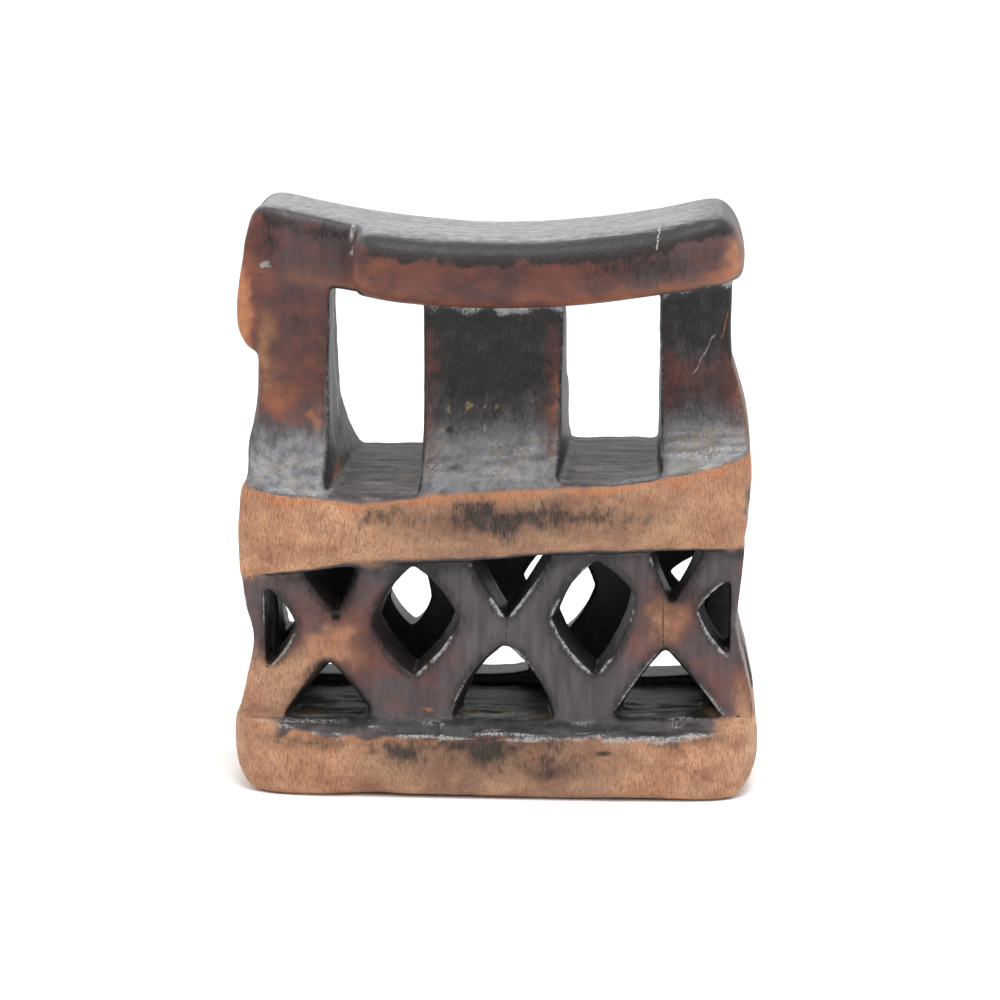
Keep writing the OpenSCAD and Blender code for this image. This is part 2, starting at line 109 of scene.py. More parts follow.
# %% A socket that can be used in sums
class Wire:
    """One output socket of a shader tree."""

    def __init__(self, tree, socket=None):
        self.tree = tree
        self.socket = socket

    def node(self, kind, settings, sockets, output=0):
        """Adds a node: settings first, then a value or a wire for each socket."""
        made = self.tree.nodes.new(kind)
        for name, value in settings.items():
            setattr(made, name, value)
        open_inputs = [s for s in made.inputs if s.enabled]
        for key, value in sockets.items():
            place = key if isinstance(key, int) else [s.name for s in open_inputs].index(key)
            if isinstance(value, Wire):
                self.tree.links.new(value.socket, open_inputs[place])
            else:
                open_inputs[place].default_value = value
        open_outputs = [s for s in made.outputs if s.enabled]
        place = output if isinstance(output, int) else [s.name for s in open_outputs].index(output)
        return Wire(self.tree, open_outputs[place] if open_outputs else None)

    def maths(self, operation, *values):
        return self.node("ShaderNodeMath", {"operation": operation}, dict(enumerate(values)))

    def __add__(self, other):
        return self.maths("ADD", self, other)

    def __sub__(self, other):
        return self.maths("SUBTRACT", self, other)

    def __mul__(self, other):
        return self.maths("MULTIPLY", self, other)

    def __rsub__(self, other):
        return self.maths("SUBTRACT", other, self)

    __radd__ = __add__
    __rmul__ = __mul__

    def __abs__(self):
        return self.maths("ABSOLUTE", self)

    def fade(self, start, end):
        """0 at start and 1 at end, with soft ends."""
        settings = {"interpolation_type": "SMOOTHSTEP"}
        return self.node("ShaderNodeMapRange", settings, {0: self, 1: start, 2: end})

    def blend(self, first, second):
        """The first colour where this is 0, the second where it is 1."""
        sockets = {"Factor": self, "A": first, "B": second}
        return self.node("ShaderNodeMix", {"data_type": "RGBA"}, sockets)


print("what makes nodes: +, -, * and abs")

# %% [markdown]
# ## Floor and light
#
# Dark polished wood shows its shape by what it reflects. A light tent stands round the
# object, bright above and behind, and dimmer in front, where the viewer stands. The bright
# part puts a grey sheen on every surface seen at a low angle, and the dim part leaves the
# upright faces dark. One wide lamp above adds the soft shadow under the plinth. The floor
# is nearly white and reaches far out, so that no horizon shows from any side.

# %% Floor and light
def soft_lamp(name, place, size, power):
    """A square lamp that faces the middle of the object."""
    data = bpy.data.lights.new(name, "AREA")
    data.size = size
    data.energy = power
    lamp = bpy.data.objects.new(name, data)
    bpy.context.scene.collection.objects.link(lamp)
    lamp.location = place
    lamp.rotation_euler = (middle - lamp.location).to_track_quat("-Z", "Y").to_euler()


def light_tent(overhead, behind, before):
    """A world that is brightest overhead, and dimmer before the object than behind it."""
    world = bpy.data.worlds.new("light_tent")
    world.use_nodes = True
    tree = Wire(world.node_tree)
    direction = tree.node("ShaderNodeTexCoord", {}, {}, "Generated")
    y_part = tree.node("ShaderNodeSeparateXYZ", {}, {0: direction}, "Y")
    z_part = tree.node("ShaderNodeSeparateXYZ", {}, {0: direction}, "Z")
    level = before + (behind - before) * y_part.fade(-0.6, 0.2)
    level = level + z_part.fade(0.25, 0.8) * (overhead - level)
    background = world.node_tree.nodes["Background"]
    background.inputs["Color"].default_value = (1, 1, 1, 1)
    world.node_tree.links.new(level.socket, background.inputs["Strength"])
    bpy.context.scene.world = world


light_tent(overhead=1.4, behind=1.15, before=0.42)
bpy.context.scene.view_settings.view_transform = "Standard"
soft_lamp("top_lamp", Vector((0.15, -0.25, 1.1)), size=0.5, power=7.5)

floor_reach = 40
floor_mesh = bpy.data.meshes.new("floor")
corners = [(-1, -1), (1, -1), (1, 1), (-1, 1)]
floor_corners = [(floor_reach * x, floor_reach * y, 0) for x, y in corners]
floor_mesh.from_pydata(floor_corners, [], [(0, 1, 2, 3)])
floor = bpy.data.objects.new("floor", floor_mesh)
bpy.context.scene.collection.objects.link(floor)
paper = bpy.data.materials.new("pale_paper")
paper.use_nodes = True
paper.node_tree.nodes["Principled BSDF"].inputs["Base Color"].default_value = (0.95, 0.95, 0.95, 1)
paper.node_tree.nodes["Principled BSDF"].inputs["Roughness"].default_value = 0.9
paper.node_tree.nodes["Principled BSDF"].inputs["Specular IOR Level"].default_value = 0.1
floor_mesh.materials.append(paper)

# %% [markdown]
# ## One block
#
# The zones meet face to face. Smoothing each one by itself would open cracks between them,
# so they are first united into one closed skin. A boolean modifier does that exactly, and
# a voxel remesh then covers the block with even little squares. Even squares matter,
# because every later step moves points by rules that count in squares.

# %% Unite the zones and cover them with even squares
square_size = 0.6      # mm


def united_block():
    """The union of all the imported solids, as one mesh."""
    solids = []
    for name in node_names:
        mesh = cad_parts[name].data.copy()
        welded = bmesh.new()
        welded.from_mesh(mesh)
        bmesh.ops.remove_doubles(welded, verts=welded.verts, dist=0.001 * MM)
        welded.to_mesh(mesh)
        welded.free()
        solids.append(bpy.data.objects.new("solid_" + name, mesh))
        bpy.context.scene.collection.objects.link(solids[-1])
    for solid in solids[1:]:
        union = solids[0].modifiers.new("union", "BOOLEAN")
        union.operation = "UNION"
        union.solver = "MANIFOLD"
        union.object = solid
    squares = solids[0].modifiers.new("squares", "REMESH")
    squares.mode = "VOXEL"
    squares.voxel_size = square_size * MM
    depsgraph = bpy.context.evaluated_depsgraph_get()
    united = bpy.data.meshes.new_from_object(solids[0].evaluated_get(depsgraph))
    for solid in solids:
        bpy.data.objects.remove(solid)
    return united


skin = united_block()
count = len(skin.vertices)
points = np.empty(count * 3)
skin.vertices.foreach_get("co", points)
points = points.reshape(-1, 3) / MM
squares = np.empty(len(skin.polygons) * 4, int)
skin.loops.foreach_get("vertex_index", squares)
squares = squares.reshape(-1, 4)
edges = np.empty(len(skin.edges) * 2, int)
skin.edges.foreach_get("vertices", edges)
edges = edges.reshape(-1, 2)
print("skin:", count, "points,", len(squares), "squares")

# %% [markdown]
# ## Which zone a square belongs to
#
# Before anything moves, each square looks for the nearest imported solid. A search tree over
# all their faces answers that quickly. The answers are then averaged with the neighbours',
# which gives a soft territory for each zone: paint can fade across it, and the cut between
# two zones comes out as a clean line.

# %% Territories
def spread(values, steps, share=1.0):
    """Averages values with those of the neighbouring points, some steps over."""
    values = values.reshape(count, -1)
    one, other = edges.T
    neighbours = np.bincount(one, minlength=count) + np.bincount(other, minlength=count)
    share = np.broadcast_to(share, count)[:, None]
    for _ in range(steps):
        total = np.stack([
            np.bincount(one, column[other], count) + np.bincount(other, column[one], count)
            for column in values.T
        ], axis=1)
        values = values + share * (total / neighbours[:, None] - values)
    return values


def nearest_zone(places):
    """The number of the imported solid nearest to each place."""
    corners, faces, owner = [], [], []
    for number, name in enumerate(node_names):
        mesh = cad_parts[name].data
        faces += [[len(corners) + v for v in face.vertices] for face in mesh.polygons]
        owner += [number] * len(mesh.polygons)
        corners += [v.co / MM for v in mesh.vertices]
    tree = BVHTree.FromPolygons(corners, faces)
    return np.array([owner[tree.find_nearest(place)[2]] for place in places.tolist()])


zone_of_square = nearest_zone(points[squares].mean(1))
territory = np.zeros((count, len(node_names)))
for corner in squares.T:
    np.add.at(territory, (corner, zone_of_square), 1)
territory = spread(territory / territory.sum(1, keepdims=True), 3)
zone_of_square = territory[squares].sum(1).argmax(1)
territory = spread(territory, 2)
print("squares a zone:", dict(zip(node_names, np.bincount(zone_of_square).tolist())))


def zone(*names):
    """How far each point belongs to the named zones, 0 to 1."""
    return sum(territory[:, node_names.index(name)] for name in names)


crosses = [name for name in node_names if name.endswith("_cross")]
uprights = [name for name in node_names if name.endswith("_corner")]
in_base = zone("base_plinth")
in_band = zone("middle_band")
in_struts = zone(*crosses, *uprights)
in_posts = zone("left_post", "centre_post", "right_post", "left_lug")
in_bar = zone("head_bar")
on_left, on_centre, on_right = (zone(side + "_post") for side in ("left", "centre", "right"))
on_lug = zone("left_lug")

# %% [markdown]
# ## Noise
#
# Everything handmade is a little uneven. The unevenness comes from value noise: random
# numbers sit on a grid and are blended smoothly in between. Writing it with array maths
# keeps it fast for hundreds of thousands of points, and hashing the grid position instead
# of drawing random numbers gives the same result on every run.

# %% Noise
def noise(place, size, seed):
    """Smooth noise from -1 to 1; size is the width of its blotches, one number or three."""
    grid = place / size + 100.5 + 17.3 * seed
    cell = np.floor(grid).astype(np.int64)
    blend = grid - cell
    blend = blend * blend * (3 - 2 * blend)
    total = 0
    # Large odd numbers mix the bits of the grid position into something that looks random
    for corner in np.ndindex(2, 2, 2):
        x, y, z = (cell + corner).T
        mixed = (x * 73856093) ^ (y * 19349663) ^ (z * 83492791) ^ (seed * 2654435761)
        mixed = ((mixed ^ (mixed >> 13)) * 1274126177) & 0xFFFFFFFF
        mixed = mixed ^ (mixed >> 16)
        weight = np.prod(np.where(corner, blend, 1 - blend), axis=1)
        total = total + weight * ((mixed & 0xFFFF) / 32767.5 - 1)
    return total


def fade(value, start, end):
    """0 below start and 1 above end, or the other way round if start is the larger."""
    t = np.clip((value - start) / (end - start), 0, 1)
    return t * t * (3 - 2 * t)


def blob(centre, reach):
    """1 at a centre, fading out over a reach, one number or three; its outline is ragged."""
    away = (ragged - np.array(centre)) / np.array(reach)
    return np.exp(-(away ** 2).sum(1))


def spots(*marks):
    """The sum of several blobs, each given as its strength, centre and reach."""
    return sum(strength * blob(centre, reach) for strength, centre, reach in marks)


def ridge(centre, reach):
    """As blob, with a smooth outline."""
    away = (points - np.array(centre)) / np.array(reach)
    return np.exp(-(away ** 2).sum(1))


x, y, z = points.T.copy()
wander = [
    2.0 * noise(points, 5.0, seed) + 0.9 * noise(points, 1.8, seed + 3) for seed in (11, 12, 13)
]
ragged = points + np.stack(wander, axis=1)
print("points wander by up to", round(float(abs(ragged - points).max()), 1), "mm in the ragged copy")

# %% [markdown]
# ## Soften the edges
#
# Hands and heads have rounded the bar, the posts and the plinth's lower corners by several
# millimetres, while the struts are protected and stay crisp. A bevel would round every
# edge alike and fails where many edges meet. Averaging each point with its neighbours
# rounds whatever it meets, and the share each point takes decides how much.

# %% Soften the edges
arc_centre = 382.8      # height in mm of the centre that the bar's two long arcs share
dish_radius = 235.0
underside_radius = 253.2


def arc_height(radius):
    """How high an arc of the bar stands above each point's place on the floor."""
    return arc_centre - np.sqrt(radius ** 2 - x ** 2)


softness = 0.03 * in_struts + 0.3 * in_base + 0.4 * in_band + 0.5 * in_posts + 0.9 * in_bar
softness += 0.6 * in_base * fade(z, 13, 4) + 0.4 * in_band * fade(abs(x), 55, 66)
points = spread(points, 30, 0.5 * np.clip(softness, 0, 1))

# The bar is rubbed rounder still: all its upper edges, and the lip beside the break
dish = arc_height(dish_radius)
lip = np.exp(-((x + 34) / 7) ** 2) * fade(y, -18, -26) * fade(z, 138, 133)
rubbed = in_bar * fade(z - dish, -13, -6) * np.maximum(fade(abs(y), 13, 20), fade(abs(x), 50, 58))
rubbed = np.maximum(rubbed, in_bar * fade(x, -34, -40) * fade(y, -4, -9) * fade(z - dish, -13, -6))
points = spread(points, 120, 0.5 * np.maximum(rubbed, lip))


def outward():
    """Which way the skin faces at each point."""
    skin.vertices.foreach_set("co", (points * MM).ravel())
    skin.update()
    facing = np.empty(count * 3, np.float32)
    skin.vertex_normals.foreach_get("vector", facing)
    return facing.reshape(-1, 3).astype(float)


facing = outward()
print("softened; height is now", round(points[:, 2].max() - points[:, 2].min(), 1), "mm")

# %% [markdown]
# ## Carve
#
# Now the skin is pushed in and out along the way it faces. Broad noise gives the slight
# hollows of a hand-held adze, stretched noise gives the tool's strokes on the floors and
# ledges, and a few single dents stand for the chip, the pits and the scar that this
# headrest has. Single marks are named by their place, so that a reader can move them.

# %% Carve
dents = [
    # place, reach, depth; the marks from the third to the seventh are also dark
    ((-59.5, -13, 139.6), (2.4, 1.5, 1.0), 0.6),     # chip in the broken end of the bar
    ((-1.5, -30, 64), (6, 1.5, 0.8), 0.3),           # wear under the band
    ((-41.4, -24.5, 47.8), (0.8, 3, 1.0), 2.2),      # pit where two struts cross
    ((67.5, -24, 77), (2.0, 5, 1.4), 1.5),           # scar on the band
    ((67, -25, 82), (1.6, 4, 2.6), 1.2),
    ((-10.2, -20, 88.1), (1.3, 2.5, 0.9), 0.7),      # pits low on the centre post
    ((-11.8, -16, 96.6), (0.9, 2.5, 0.9), 0.6),
    ((29.3, -30, 13.2), (2.2, 1.5, 0.5), 0.35),      # nick in the plinth
    ((12, 30, 12), (5, 2, 3), 0.5),                  # knocks at the back
    ((-30, 29, 75), (4, 2, 3), 0.5),
    ((-37, -28, 131.5), (4.5, 7, 3.5), 2.2),         # worn corner of the bar's lip
]
storey_floor = in_base * fade(facing[:, 2], 0.4, 0.8) * fade(z, 12, 16)
window_floor = (in_band + in_posts) * fade(facing[:, 2], 0.35, 0.7) * fade(abs(y), 30, 26)
strokes = noise(points, np.array([16, 2.2, 2.2]), 5) + 0.5 * noise(points, np.array([9, 1.3, 1.3]), 6)
push = 0.34 * noise(points, 21.0, 2) + 0.2 * noise(points, 9.0, 3) * (1 - 0.6 * in_bar)
push += 0.07 * noise(points, 3.2, 4)
push += (0.2 * strokes + 0.3 * noise(points, 4.5, 8)) * (storey_floor + 0.7 * window_floor)
for centre, reach, depth in dents:
    push -= depth * ridge(centre, reach)
# The ledge's worn front rim is wavy, and steps up once a little left of the middle
rim = in_base * fade(z, 14, 17) * fade(abs(y), 23, 28)
push += rim * (0.35 * noise(points, 6.0, 7) + 0.3 * fade(x, -14.6, -13.2) - 0.15)
points = points + facing * push[:, None]
facing = outward()
print("pushed from", push.min().round(2), "to", push.max().round(2), "mm")

# %% [markdown]
# ## Paint: hollows and edges
#
# Wear, dirt and painted shade follow the shape: raised edges gather pale dust, and on the
# posts a painted highlight; corners gather ochre dirt and painted shade. Comparing each
# point with the average of its surroundings tells the two apart, because an edge stands
# proud of its own average and a corner lies below it.

# %% Hollows and edges
def proudness(steps):
    """How far each point stands proud of its surroundings, in mm."""
    return ((points - spread(points, steps)) * facing).sum(1)


on_edge = fade(proudness(10), 0.12, 0.5)
on_rim = fade(proudness(3), 0.09, 0.24)
in_corner = fade(proudness(10), -0.08, -0.4)
along_x, along_y, up = facing.T
ahead = fade(along_y, -0.25, -0.6)
upward = fade(up, 0.3, 0.75)
downward = fade(up, -0.3, -0.7)
sideways = fade(abs(along_x), 0.45, 0.8)
rx, _, rz = ragged.T
coarse = 0.5 + 0.5 * noise(ragged, 12.0, 21)
print("on edges:", int((on_edge > 0.5).sum()), "in corners:", int((in_corner > 0.5).sum()))

# %% [markdown]
# ## Paint: bare tan wood
#
# Handling wears the dark skin off, and the orange tan heartwood shows. The plinth and the
# band are worn most, at their outer ends more than in their middles, and the outer feet of
# the struts and the side lug are worn as well. The masks are plain numbers from 0 to 1 at
# every point, and the finish turns them into colours later.

# %% Bare tan wood
paint = {}
rim_height = 17.3 + 0.014 * x      # the plinth's upper rim climbs a little to the right
past_ledge = np.maximum(fade(rx, -54, -60), fade(rx, 55, 61))
below_rim = fade(rz - rim_height, 0.8, -0.8) * fade(up, 0.8, 0.4)
plinth_side = in_base * np.maximum(below_rim, past_ledge)
towards_ends = fade(abs(rx - 3), 15, 50)
tan = plinth_side * (0.5 + 0.22 * coarse + 0.28 * towards_ends)
band_side = in_band * fade(up, 0.7, 0.3) * fade(up, -0.8, -0.4) * fade(abs(y), 22, 26)
band_side = np.maximum(band_side, in_band * fade(abs(x), 58, 64))
tan += band_side * (0.6 + 0.15 * coarse + 0.3 * fade(rx, -10, -55) + 0.08 * fade(rx, 20, 50))
front_struts = in_struts * fade(y, -12, -20)
tan += front_struts * spots(
    (0.7, (-42, -24, 40), (8, 12, 6)),
    (0.6, (-52, -24, 32), (8, 12, 6)),
    (0.55, (45, -24, 48), (6, 12, 7)),
)
tan += in_struts * spots(
    (0.95, (-65, -26, 26), (13, 14, 10)),
    (0.5, (-67, -24, 62), (7, 14, 5)),
    (0.65, (68, -26, 25), (5, 14, 8)),
    (0.5, (52, 24, 32), (12, 9, 10)),
    (0.5, (68, 10, 30), (6, 20, 12)),
    (0.5, (-68, 10, 30), (6, 20, 12)),
)
tan += on_lug * 0.75 * fade(rx, -62.5, -66.5)
tan += on_left * 0.5 * blob((-62, -10, 116), (4, 16, 12))
tan += in_bar * spots((0.5, (65, -24, 144), (5, 12, 7)), (0.35, (66, 12, 145), (5, 14, 6)))
tan += on_right * 0.3 * fade(rx, 62, 68) * fade(rz, 120, 105)
paint["tan"] = tan
print("tan on", round(float((tan > 0.5).mean() * 100)), "percent")

# %% [markdown]
# ## Paint: orange glow
#
# Between bare and sooted wood there is often a narrow stretch where thin oil has turned
# the tan to a warm orange brown: just under the band's upper edge, on the lug, at the
# bar's right end and along the inner edges of the posts.

# %% Orange glow
band_slope = math.tan(math.radians(4))
band_crest = 82.7 + x * band_slope + 5.5 * (x / 68.5) ** 4
band_face = in_band * fade(y, 0, -10) * fade(up, 0.75, 0.4)
orange = band_face * fade(rz - band_crest, -3.8, -1.2) * (0.5 + 0.5 * coarse)
orange += band_face * (0.3 * fade(rx, -45, -64) + 0.25 * fade(rx, 40, 58))
bar_foot = arc_height(underside_radius)
orange += in_bar * ahead * fade(rz - bar_foot, 7, 1.5) * (0.25 + 0.25 * fade(rx, -10, 40))
orange += in_bar * spots((0.85, (64, -26, 144), (4.5, 9, 6)), (0.45, (-31, -29, 141), (5, 9, 4)))
orange += on_lug * 0.8 * fade(rx, -62, -65)
orange += on_left * spots(
    (0.75, (-46.5, -16, 99), (1.6, 9, 4)),
    (0.5, (-61, -16, 118), (5, 9, 10)),
    (0.5, (-56, -16, 104), (6, 9, 6)),
)
orange += on_centre * 0.55 * blob((15.5, -14, 104), (1.8, 9, 8))
orange += on_centre * ridge((16.7, -8, 106.8), (1.2, 5, 1.5))
orange += on_right * 0.5 * fade(rx, 60, 66) * fade(rz, 92, 98)
orange += front_struts * spots(
    (0.55, (-43, -24, 41), (7, 9, 5)),
    (0.4, (46, -24, 49), (5, 9, 6)),
    (1.0, (-18, -24.5, 22.9), (1.8, 9, 0.5)),
)
orange += in_struts * 0.5 * blob((-64, -26, 26), (8, 12, 8))
orange += in_base * 0.3 * ahead * towards_ends * coarse
paint["orange"] = orange
print("orange on", round(float((orange > 0.5).mean() * 100)), "percent")

# %% [markdown]
# ## Paint: red wood
#
# Under the soot the wood is deep red brown, which shows on the bar's face, the left post
# and the left struts. It could be the ground colour of the whole block, but the struts in
# the middle are plain grey, so red is one more layer with its own mask.

# %% Red wood
bar_skin = 0.9 - 0.35 * fade(rx, 25, 50) - 0.35 * fade(rx, -34, -42) * fade(rx, -62, -54)
red = in_bar * bar_skin * fade(up, 0.75, 0.3)
red += (on_left + on_lug) * 0.8 * fade(rz, 90, 106)
red += on_right * 0.65 * np.exp(-((rz - 109) / 9) ** 2)
red += on_right * (0.6 * fade(rx, 56, 64) + 0.5 * fade(rx, 49, 45))
red += on_centre * 0.75 * fade(abs(rx + 1.5), 11, 17) * fade(rz, 84, 96)
left_front = zone("front_left_cross", "front_left_corner")
right_front = zone("front_right_cross", "front_right_corner")
red += left_front * (0.25 + 0.7 * blob((-40, -24, 42), (18, 12, 14)))
red += zone("front_centre_cross") * 0.75 * blob((-17, -24, 37), (9, 12, 14))
red += right_front * (0.1 + 0.85 * blob((45, -24, 48), (9, 12, 14)))
red += in_struts * 0.6 * blob((62, -24, 28), (9, 12, 12))
red += in_struts * 0.4 * fade(abs(x), 62, 67)
red += in_struts * fade(y, 10, 22) * 0.8 * coarse
red += in_base * 0.7 * ahead * fade(rz - rim_height, -5, -1) * fade(z - rim_height, 1, 0)
paint["red"] = red
print("red on", round(float((red > 0.5).mean() * 100)), "percent")

# %% [markdown]
# ## Paint: soot and painted shade low on the block
#
# Soot and grease have blackened the ledge and the middle of the band. The inner walls and
# the rims of the openings are darkened partly by soot and partly with painted shade. The
# inside of the storey and a strip under the band are treated the same way, and the band's
# underside is darkened with painted shade. A point lies on an inner wall if it belongs to a
# strut but faces neither out of the front or back nor out of an end. Averaging that mask
# with the neighbours' carries a little of the dark round the rims.

# %% Soot and painted shade on struts, band and plinth
front_or_back = fade(abs(along_y), 0.55, 0.85) * fade(abs(y), 21, 23)
either_end = fade(abs(along_x), 0.55, 0.85) * fade(abs(x), 62, 64.5)
inner_wall = in_struts * (1 - np.maximum(front_or_back, either_end))
near_opening = spread(inner_wall, 50)[:, 0]
worn_feet = spots((1, (-64, -26, 25), (13, 14, 10)), (1, (66, -26, 26), (9, 14, 10)))
shaded = in_struts * (1 - inner_wall) * (1 - np.clip(worn_feet, 0, 1))
# Inner walls and the rims of the openings: soot and painted shade
soot_and_painted_shade = 0.85 * inner_wall + 0.75 * shaded * fade(near_opening, 0.1, 0.5)
# The inside of the storey: soot and painted shade
soot_and_painted_shade += in_struts * 0.8 * fade(abs(y), 14, 11)
# A strip just under the band's overhang: soot and painted shade
above_struts = rz - 64.5 - x * band_slope
soot_and_painted_shade += in_struts * ahead * 0.7 * fade(above_struts, -5, -1) * fade(rx, -60, -52)
# The band's underside: painted shade
soot_and_painted_shade += in_band * 0.95 * downward * fade(abs(y), 27, 24)
band_front = in_band * fade(y, 0, -15)
soot_and_painted_shade += band_front * spots(
    (0.7, (0, -28, 76), (18, 30, 4.5)),
    (0.45, (24, -28, 76.5), (22, 30, 3)),
)
soot_and_painted_shade += band_front * coarse * spots(
    (0.5, (8, -28, 72), (42, 30, 6)),
    (0.6, (-28, -28, 76), (8, 30, 3)),
)
soot_and_painted_shade += in_band * 0.95 * blob((68.5, -22, 79), (2.8, 12, 6))
soot_and_painted_shade += in_band * 0.7 * fade(y, 0, 15) * blob((-15, 28, 74), (26, 30, 7))
soot_and_painted_shade += in_base * 0.8 * upward * (1 - past_ledge) * fade(z, 13, 15)
plinth_front = in_base * fade(y, 0, -15) * fade(z - rim_height, 1, -1)
soot_and_painted_shade += plinth_front * coarse * 0.6 * fade(rz - rim_height, -5, -1.5)
soot_and_painted_shade += plinth_front * coarse * 0.5 * blob((-10, -30, 8), (28, 30, 5))
soot_and_painted_shade += plinth_front * spots(
    (0.9, (-3, -30, 13.5), (8, 30, 3.5)),
    (0.8, (-24, -30, 12.5), (7, 30, 3.5)),
    (0.65, (17, -30, 10), (9, 30, 4)),
)
soot_and_painted_shade += plinth_front * 0.9 * ridge((29.3, -30, 13.2), (2.6, 30, 0.6))
soot_and_painted_shade += in_base * fade(y, 0, 15) * 0.5 * blob((25, 30, 12), (22, 30, 4))
print("soot so far on", round(float((soot_and_painted_shade > 0.5).mean() * 100)), "percent")

# %% [markdown]
# ## Paint: soot and painted shade high on the block
#
# The centre post and the right post darken towards their tops, where the bar overhangs
# them: a little soot, and over it a painted shadow of the bar. The walls between the posts
# get soot and painted shade, the underside of the bar gets painted shade, and a line under
# its dished top is black. Every corner gets a little painted shade, and the deep pits get
# soot, because no hand wipes them.

# %% Soot and painted shade on posts and bar
middle_of_post = fade(abs(rx + 1.5), 18.5, 10)
# The centre post: some soot, and a painted shadow of the bar, darker upwards and darkest at the top
soot_and_painted_shade += on_centre * (0.25 + 0.7 * fade(rz, 93, 112)) * (0.35 + 0.65 * middle_of_post)
soot_and_painted_shade += on_centre * 0.7 * fade(rz, 122, 127)
# The right post: some soot, and a painted shadow of the bar at its top
soot_and_painted_shade += on_right * (0.25 + 0.65 * fade(rz, 111, 122) + 0.3 * np.exp(-((rz - 103) / 7) ** 2))
soot_and_painted_shade += on_left * spots((0.35, (-55, -14, 124), (9, 12, 8)), (0.3, (-44, -14, 116), (5, 12, 16)))
# The walls between the posts: soot and painted shade
soot_and_painted_shade += in_posts * sideways * 0.75 * fade(abs(x), 61, 57)
# The bar's underside: painted shade
soot_and_painted_shade += in_bar * 0.9 * downward * fade(abs(y), 26, 22)
under_edge = rz - dish
face_top = fade(along_y, -0.1, -0.35) * fade(rx, -36, -30) * fade(up, 0.99, 0.9)
soot_and_painted_shade += in_bar * 1.1 * face_top * fade(under_edge, -7, -4)
soot_and_painted_shade += in_bar * ahead * spots(
    (0.75, (38, -29, 142), (16, 9, 4.5)),
    (0.3, (0, -29, 139), (18, 9, 3)),
)
soot_and_painted_shade += in_bar * spots((0.75, (-59.5, -13, 146), (2.6, 9, 7)), (0.45, (-40, -13, 145), (6, 9, 7)))
soot_and_painted_shade += in_bar * ahead * 0.5 * fade(rx, -36, -40) * fade(under_edge, -6, -3)
# Every corner: painted shade
soot_and_painted_shade += 0.3 * in_corner
for place, reach, _ in dents[2:7]:
    soot_and_painted_shade += 0.8 * ridge(place, np.array(reach) * 0.9)
paint["soot_and_painted_shade"] = soot_and_painted_shade
print("soot on", round(float((soot_and_painted_shade > 0.5).mean() * 100)), "percent")

# %% [markdown]
# ## Paint: polish and painted sheen
#
# Handling has polished the bar's top and the low flares of the posts. The mask does three
# jobs later: it lowers the roughness and adds a coat, which is the real polish, and it greys
# the colour, which is a painted reflection of the bright light tent above and behind. It
# also puts a painted reflection on the struts' faces and a painted highlight on the posts'
# front edges.

# %% Polish and painted sheen
# The bar's top: polish, and a painted reflection of the bright light overhead
polish_and_painted_reflection = in_bar * fade(up, 0.82, 0.98) * (0.7 - 0.45 * fade(rx, 46, 62))
# The posts' low flares tilt up: polish, and a painted reflection of the light above
flare = in_posts * fade(rz - 0.07 * x, 106, 90) * fade(up, -0.15, 0.25)
flare *= 1 - 0.6 * on_centre * fade(abs(rx + 1.5), 12, 18)
polish_and_painted_reflection += 1.15 * flare * (1 - sideways) * (0.7 + 0.35 * coarse + 0.2 * on_left)
# The struts' front faces: a painted reflection
polish_and_painted_reflection += 0.35 * front_struts * coarse * (1 - fade(near_opening, 0.02, 0.4))
# The posts' front edges: a painted highlight
polish_and_painted_reflection += 0.5 * in_posts * ahead * on_edge * fade(rz, 120, 105)
paint["polish_and_painted_reflection"] = polish_and_painted_reflection
print("sheen on", round(float((polish_and_painted_reflection > 0.5).mean() * 100)), "percent")

# %% [markdown]
# ## Paint: dust and dirt
#
# Pale dust lies where walls meet, under the bar and along the rims of the openings, and
# ochre dirt lies on the floors. Both are broken up by fine noise, because an even line of
# dust would look drawn on.

# %% Dust
under_bar = (on_centre + on_right) * ahead
dust = under_bar * fade(rz - bar_foot, -3.5, -0.5) * fade(noise(ragged, 2.6, 30), -0.6, 0.3)
dust += front_struts * 0.9 * on_rim * fade(noise(points, 8.0, 31), -0.15, 0.35)
dust += in_struts * 0.6 * on_rim * (1 - ahead) * fade(noise(points, 5.0, 32), -0.1, 0.4)
# The pale line along the crest of the plinth's front rim: dust, and a painted highlight on the crest
plinth_rim = in_base * fade(z, 14.5, 16) * fade(y, -25, -27.5) * (1 - past_ledge)
dust += plinth_rim * 0.7 * fade(proudness(4), 0.05, 0.14)
post_wall = in_posts * sideways * fade(abs(x), 61, 57)
drips = fade(noise(points, np.array([3, 2.2, 16]), 34), -0.05, 0.6) * fade(y, -9, -5)
dust += post_wall * 0.5 * (drips + on_edge)
floor_streaks = fade(noise(points, np.array([8, 2, 2]), 35), 0.1, 0.6)
dust += (storey_floor + window_floor) * 0.3 * floor_streaks
chip = np.clip(2.2 * ridge((-60, -13, 139.4), (1.9, 3, 0.75)) - 0.4, 0, 1)
dust += 1.6 * in_bar * chip * fade(noise(points, 1.4, 36), -0.9, 0.0)
break_line = in_bar * ahead * fade(abs(x + 36.9), 0.9, 0.2) * fade(z, 137, 139)
dust += 0.8 * break_line * fade(noise(points, 2.0, 37), -0.2, 0.3)
paint["dust"] = dust
print("dust on", round(float((dust > 0.5).mean() * 100), 1), "percent")

